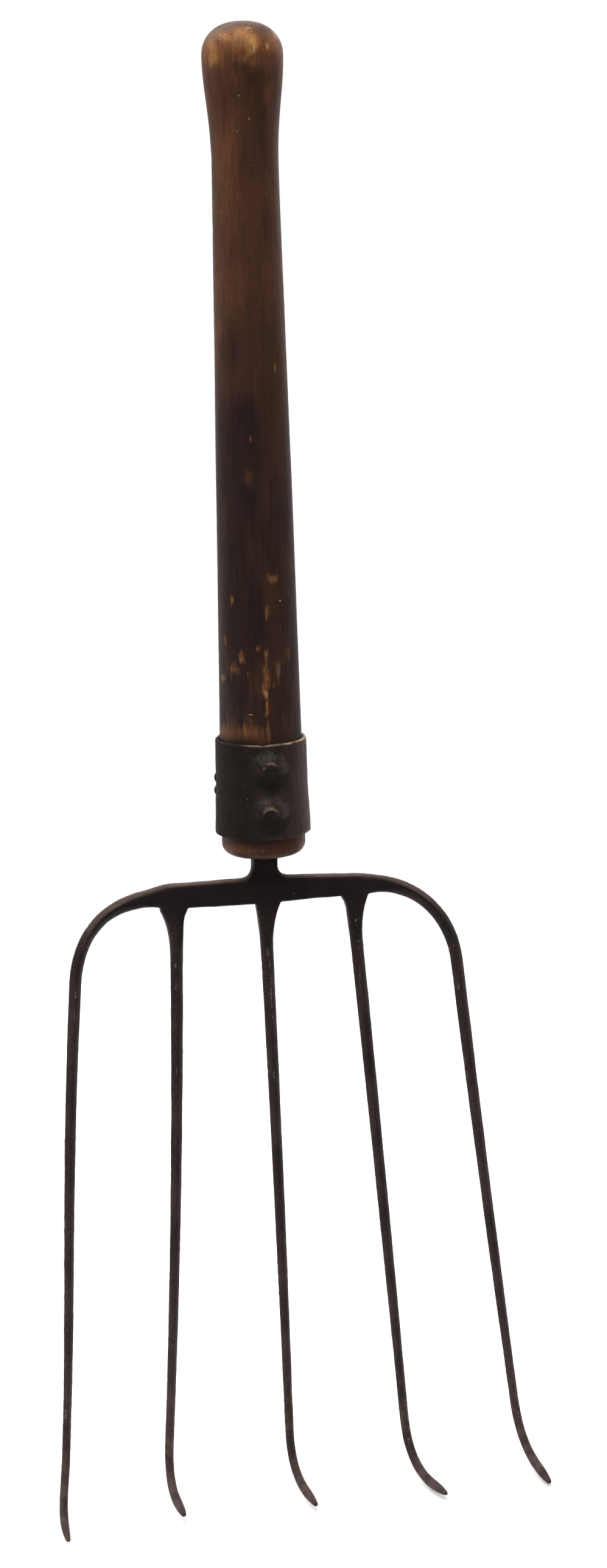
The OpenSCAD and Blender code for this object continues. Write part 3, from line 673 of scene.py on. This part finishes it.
# Bare and scuffed places on the wood: pixel, height and width in mm, strength. The one at (367, 58) is a painted
# highlight on the knob.
WOOD_MARKS_AND_HIGHLIGHT = [
    (409, 47, 1.6, 5, 0.5), (417, 79, 6, 1.5, 0.6), (411, 62, 2.4, 1.6, 0.5), (421, 84, 3, 1.4, 0.4),
    (438, 74, 6, 1.2, 0.5), (367, 58, 4, 6, 0.4), (404, 55, 1.6, 2.4, 0.4),
    (452, 602, 5, 1.2, 0.4), (411, 721, 4, 1, 0.45), (448, 951, 5, 6, 0.45), (381, 987, 6, 3, 0.45),
    (438, 1006, 9, 2.2, 0.5), (370, 1055, 5, 1.6, 0.45), (423, 1066, 5, 3, 0.45), (396, 1081, 9, 4, 0.38),
    (384, 1099, 8, 7, 0.25), (366, 1114, 5, 2.6, 0.5), (437, 1086, 14, 2.0, 0.6), (436, 1104, 12, 3.4, 0.55),
    (439, 1122, 18, 5.0, 0.45), (437, 1139, 9, 4.0, 0.85), (457, 1099, 14, 3.4, 0.3), (475, 1077, 9, 2, 0.2),
    (439, 1163, 12, 2.4, 0.9), (438, 1173, 6, 2.6, 0.7), (440, 1195, 18, 1.8, 0.45), (421, 1202, 11, 1.4, 0.35),
    (402, 1199, 12, 1.4, 0.25), (432, 1206, 8, 1.2, 0.3), (412, 1188, 8, 1.0, 0.25),
]
# Pale dots and a scratch: pixel, height and width in mm, strength
WOOD_SPOTS = [
    (417.5, 79, 5.5, 0.9, 0.55), (439, 76, 5, 0.9, 0.5), (414, 85, 2.4, 0.9, 0.4), (408, 46, 0.8, 4.0, 0.5),
    (413, 51, 2.2, 0.8, 0.4), (405, 60, 0.9, 0.9, 0.5), (362, 64, 0.9, 0.7, 0.4), (387, 84, 0.8, 0.6, 0.4),
    (409, 195, 1.3, 0.8, 0.8), (392, 157, 1.3, 0.8, 0.65), (389, 216, 2.2, 0.5, 0.5), (460, 987, 1.3, 1.2, 0.9),
    (412, 1174, 0.5, 3.4, 0.7), (398, 1243, 0.9, 0.5, 0.5), (383, 100, 0.8, 0.7, 0.4), (436, 431, 0.8, 0.7, 0.3),
    (364, 350, 0.8, 0.7, 0.3), (437, 318, 0.8, 0.7, 0.3), (447, 390, 1.4, 0.5, 0.3), (411, 271, 0.8, 0.8, 0.3),
]
# Warm, soft patches and dark ones, in the same units
WARM_PATCHES = [
    (395, 62, 26, 34, 0.8), (350, 88, 24, 16, 0.75), (445, 70, 20, 22, 0.65), (418, 100, 10, 8, 0.5),
    (440, 152, 16, 8, 0.4), (375, 290, 90, 16, 0.4),
    (360, 480, 60, 14, 0.2), (405, 788, 16, 10, 0.4), (372, 1203, 17, 24, 0.85), (408, 1204, 15, 26, 0.85),
    (420, 1120, 30, 14, 0.25), (466, 1196, 22, 24, 0.2), (368, 1396, 12, 20, 0.95), (405, 1398, 10, 30, 0.5),
]
# Golden patches, in the same units; those at (345, 70) and (372, 62) are a painted highlight on the knob.
GOLD_PATCHES_AND_HIGHLIGHT = [
    (414, 67, 16, 13, 1.0), (398, 55, 8, 14, 0.5), (452, 58, 9, 7, 0.5), (440, 76, 8, 5, 0.3),
    (432, 1399, 4, 1.4, 0.35), (350, 92, 13, 6, 0.55), (345, 70, 8, 5, 0.3), (372, 62, 8, 9, 0.35),
]
DARK_PATCHES = [
    (414, 132, 24, 14, 0.2), (425, 215, 50, 22, 0.4), (392, 108, 12, 10, 0.25), (455, 118, 16, 14, 0.3),
    (383, 575, 40, 16, 0.35),
    (365, 930, 90, 20, 0.5), (395, 1030, 40, 24, 0.4), (400, 700, 60, 26, 0.35), (380, 800, 70, 22, 0.3),
    (440, 1394, 12, 40, 0.3), (480, 1390, 14, 14, 0.1),
]


def row_height(py):
    """Height on the handle's axis at a row of the photograph."""
    return WOOD_HIGH.z - (py - 34) / (1402 - 34) * (WOOD_HIGH.z - WOOD_LOW.z)


def make_wood(camera):
    piece = remeshed("handle", "wooden_handle", WOOD_VOXEL)
    mesh = piece.data
    smooth(mesh, 10)
    points = get_points(mesh)
    reach = np.hypot(points[:, 0] - AXIS_X, points[:, 1] - AXIS_Y)
    outside = ramp(reach, 17 * MM, 19 * MM)
    streaks = noise(points, (2.6 * MM, 2.6 * MM, 45 * MM), 5)
    broad = layered(points, (16 * MM, 16 * MM, 80 * MM), 7)
    dents = cell_distance(points, (17 * MM, 17 * MM, 30 * MM), 13)
    amount = 0.03 * MM * streaks - 0.05 * MM + 0.14 * MM * broad
    amount -= 0.20 * MM * (1 - ramp(dents, 0.05, 0.18))
    rubbed_and_highlight = marks(piece, camera, WOOD_MARKS_AND_HIGHLIGHT, 0.35, (1.1, 1.1, 7), 0.7)
    amount -= 0.22 * MM * rubbed_and_highlight
    displace(mesh, amount * outside)

    height = points[:, 2]
    side = (points[:, 0] - AXIS_X) / (27 * MM)
    foot = 1 - ramp(height, BAND_LOW.z - 0.004, BAND_LOW.z + 0.004)
    fade = ramp(-height, -row_height(430), -row_height(830))
    grime = 0.10 + 0.75 * fade * (1 - foot)
    # Painted shade: the upper handle darkens towards its right side and the lower handle towards its left side.
    upper = ramp(-height, -row_height(130), -row_height(200)) * (1 - fade)
    grime += 0.09 * ramp(side, -0.45, 0.1) * upper + 0.16 * ramp(-side, -0.1, 0.6) * fade
    # Painted shade: the wood below the band is darkened, most on its down-facing faces.
    grime += foot * (0.10 + 0.40 * ramp(-get_normals(mesh)[:, 2], 0.2, 0.8))
    cap = ramp(height, row_height(66), row_height(40))
    grime += 0.55 * cap
    grime += 0.22 * layered(points, (9 * MM, 9 * MM, 30 * MM), 19)
    dark = marks(piece, camera, DARK_PATCHES, 0.0, (9, 9, 22), 0.3, 73)
    warm_tint_and_painted_light = marks(piece, camera, WARM_PATCHES, 0.0, (6, 6, 16), 0.35, 75)
    warm_tint_and_painted_light = warm_tint_and_painted_light + 0.35 * ramp(height + 7 * MM * layered(points, 12 * MM, 21), row_height(135), row_height(80))
    attribute(mesh, "wear_and_highlight", rubbed_and_highlight)
    gold_and_highlight = marks(piece, camera, GOLD_PATCHES_AND_HIGHLIGHT, 0.0, (4, 4, 8), 0.5, 77)
    attribute(mesh, "gold_and_highlight", gold_and_highlight)
    attribute(mesh, "grime", (grime + dark) * (1 - 0.8 * np.clip(warm_tint_and_painted_light, 0, 1) * (1 - cap)))
    attribute(mesh, "warm_tint_and_painted_light", warm_tint_and_painted_light)
    tree = surface_tree(mesh)
    spots = []
    for px, py, tall, wide, strength in WOOD_SPOTS:
        hit = tree.ray_cast(camera.location, photo_ray(camera, px, py))[0]
        spots.append((hit, tall * MM, wide * MM, strength))
    finish_piece(piece, wood("handle_wood", spots), "handle_wood", "handle")


photo_camera = make_camera()
make_floor()
make_light()
make_head(photo_camera)
make_band(photo_camera)
make_rivet("upper_rivet", "upper_rivet_head", 67)
make_rivet("lower_rivet", "lower_rivet_head", 83)
make_rivet("seam_rivets", "seam_rivet_heads", 97)
make_wood(photo_camera)
